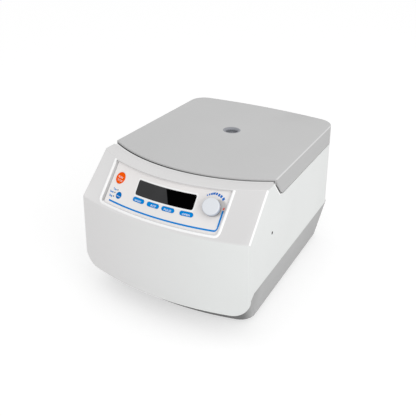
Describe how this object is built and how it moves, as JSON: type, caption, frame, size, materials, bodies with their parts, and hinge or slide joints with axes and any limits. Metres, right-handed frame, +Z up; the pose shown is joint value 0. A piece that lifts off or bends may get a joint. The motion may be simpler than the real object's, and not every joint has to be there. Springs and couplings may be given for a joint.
{
  "type": "bench centrifuge",
  "caption": "Compact bench centrifuge with a hinged lid, a sloping curved control panel, a locked chamber and an angle rotor for tubes.",
  "frame": {"origin": "on the bench, under the middle of the casing", "axes": "+Z up, -Y towards the user, +X to the user's right"},
  "size_m": [0.2968, 0.4, 0.2265],
  "materials": {
    "white_case": "fine texture",
    "grey_lid": "fine texture",
    "grey_base": "fine texture",
    "panel_film": "satin film",
    "display_glass": "clear",
    "orange_key": "satin",
    "blue_key": "satin",
    "lamp": "frosted",
    "knob_grey": "satin",
    "black_plastic": "moulded",
    "inner_plastic": "moulded",
    "port_grey": "moulded",
    "clear_window": "clear",
    "rubber": "matt",
    "steel": "brushed",
    "zinc_steel": "plated",
    "rotor_metal": "anodised",
    "motor_paint": "satin",
    "copper": "wound",
    "board": "satin"
  },
  "bodies": {
    "casing": {"base_pan": "grey_base", "board_posts": "zinc_steel", "chamber_bowl": "steel", "chamber_floor": "steel", "control_board": "board", "control_overlay": "panel_film", "display_module": "black_plastic", "display_window": "display_glass", "fan_frame": "black_plastic", "fan_screws": "zinc_steel", "fixing_screws": "zinc_steel", "foot_screws": "zinc_steel", "hinge_leaves_lower": "zinc_steel", "hinge_pins": "steel", "housing": "white_case", "housing_screws": "zinc_steel", "key_switches": "black_plastic", "knob_encoder": "zinc_steel", "lid_switch": "black_plastic", "lock_bracket": "zinc_steel", "lock_solenoid": "motor_paint", "motor_bearings": "steel", "motor_housing": "motor_paint", "motor_plate": "zinc_steel", "motor_screws": "zinc_steel", "motor_stator": "copper", "plate_posts": "zinc_steel", "power_board": "board", "power_inlet": "black_plastic", "release_guide": "inner_plastic", "rim_gasket": "rubber", "rubber_dampers": "rubber", "rubber_feet": "rubber", "shaft_boot": "rubber", "status_lights": "lamp", "switch_bezel": "black_plastic"},
    "lid": {"lid_shell": "grey_lid", "lid_liner": "inner_plastic", "port_ring": "port_grey", "port_window": "clear_window", "lid_striker": "steel", "lid_screws": "zinc_steel", "hinge_leaves_upper": "zinc_steel"},
    "rotor": {"drive_shaft": "steel", "motor_armature": "steel", "drive_collar": "steel", "angle_rotor": "rotor_metal", "rotor_nut": "steel"},
    "run_stop_key": {"run_stop_key": "orange_key"},
    "menu_key": {"menu_key": "blue_key"},
    "function_key_1": {"function_key_1": "blue_key"},
    "function_key_2": {"function_key_2": "blue_key"},
    "function_key_3": {"function_key_3": "blue_key"},
    "function_key_4": {"function_key_4": "blue_key"},
    "setting_knob": {"setting_knob": "knob_grey", "encoder_shaft": "steel"},
    "power_rocker": {"power_rocker": "black_plastic"},
    "lock_bolt": {"lock_bolt": "steel"},
    "release_lever": {"release_lever": "steel"},
    "fan_impeller": {"fan_impeller": "black_plastic"}
  },
  "joints": [
    {"name": "lid_hinge", "type": "hinge", "parent": "casing", "child": "lid", "pos_m": [0, 0.196, 0.194], "axis": [-1, 0, 0], "range_deg": [0, 80]},
    {"name": "rotor_spin", "type": "hinge", "parent": "casing", "child": "rotor", "pos_m": [0, 0.05, 0.12], "axis": [0, 0, 1], "continuous": true},
    {"name": "knob_turn", "type": "hinge", "parent": "casing", "child": "setting_knob", "pos_m": [0.07486, -0.15448, 0.19231], "axis": [0.1903, -0.7546, 0.628], "continuous": true},
    {"name": "run_stop_key_press", "type": "slide", "parent": "casing", "child": "run_stop_key", "axis": [0.2116, 0.7466, -0.6307], "range_m": [0, 0.001], "stiffness_N_per_m": 800, "springref_m": -0.0006},
    {"name": "menu_key_press", "type": "slide", "parent": "casing", "child": "menu_key", "axis": [0.159, 0.7586, -0.6319], "range_m": [0, 0.001], "stiffness_N_per_m": 800, "springref_m": -0.0006},
    {"name": "function_key_1_press", "type": "slide", "parent": "casing", "child": "function_key_1", "axis": [0.0825, 0.7907, -0.6066], "range_m": [0, 0.001], "stiffness_N_per_m": 800, "springref_m": -0.0006},
    {"name": "function_key_2_press", "type": "slide", "parent": "casing", "child": "function_key_2", "axis": [0.0234, 0.8, -0.5995], "range_m": [0, 0.001], "stiffness_N_per_m": 800, "springref_m": -0.0006},
    {"name": "function_key_3_press", "type": "slide", "parent": "casing", "child": "function_key_3", "axis": [-0.0342, 0.7991, -0.6002], "range_m": [0, 0.001], "stiffness_N_per_m": 800, "springref_m": -0.0006},
    {"name": "function_key_4_press", "type": "slide", "parent": "casing", "child": "function_key_4", "axis": [-0.0995, 0.786, -0.6102], "range_m": [0, 0.001], "stiffness_N_per_m": 800, "springref_m": -0.0006},
    {"name": "power_switch", "type": "hinge", "parent": "casing", "child": "power_rocker", "pos_m": [0.031, 0.18994, 0.112], "axis": [-1, 0, 0], "range_deg": [0, 12]},
    {"name": "bolt_slide", "type": "slide", "parent": "casing", "child": "lock_bolt", "axis": [-1, 0, 0], "range_m": [0, 0.012]},
    {"name": "release_swing", "type": "hinge", "parent": "casing", "child": "release_lever", "pos_m": [0.03, -0.105, 0.16], "axis": [0, -1, 0], "range_deg": [0, 17]},
    {"name": "fan_spin", "type": "hinge", "parent": "casing", "child": "fan_impeller", "pos_m": [-0.088, 0.175, 0.1358], "axis": [0, 1, 0], "continuous": true}
  ],
  "couplings": [
    {"joint": "release_swing", "follows": "bolt_slide", "rad_per_m": 24.3}
  ]
}
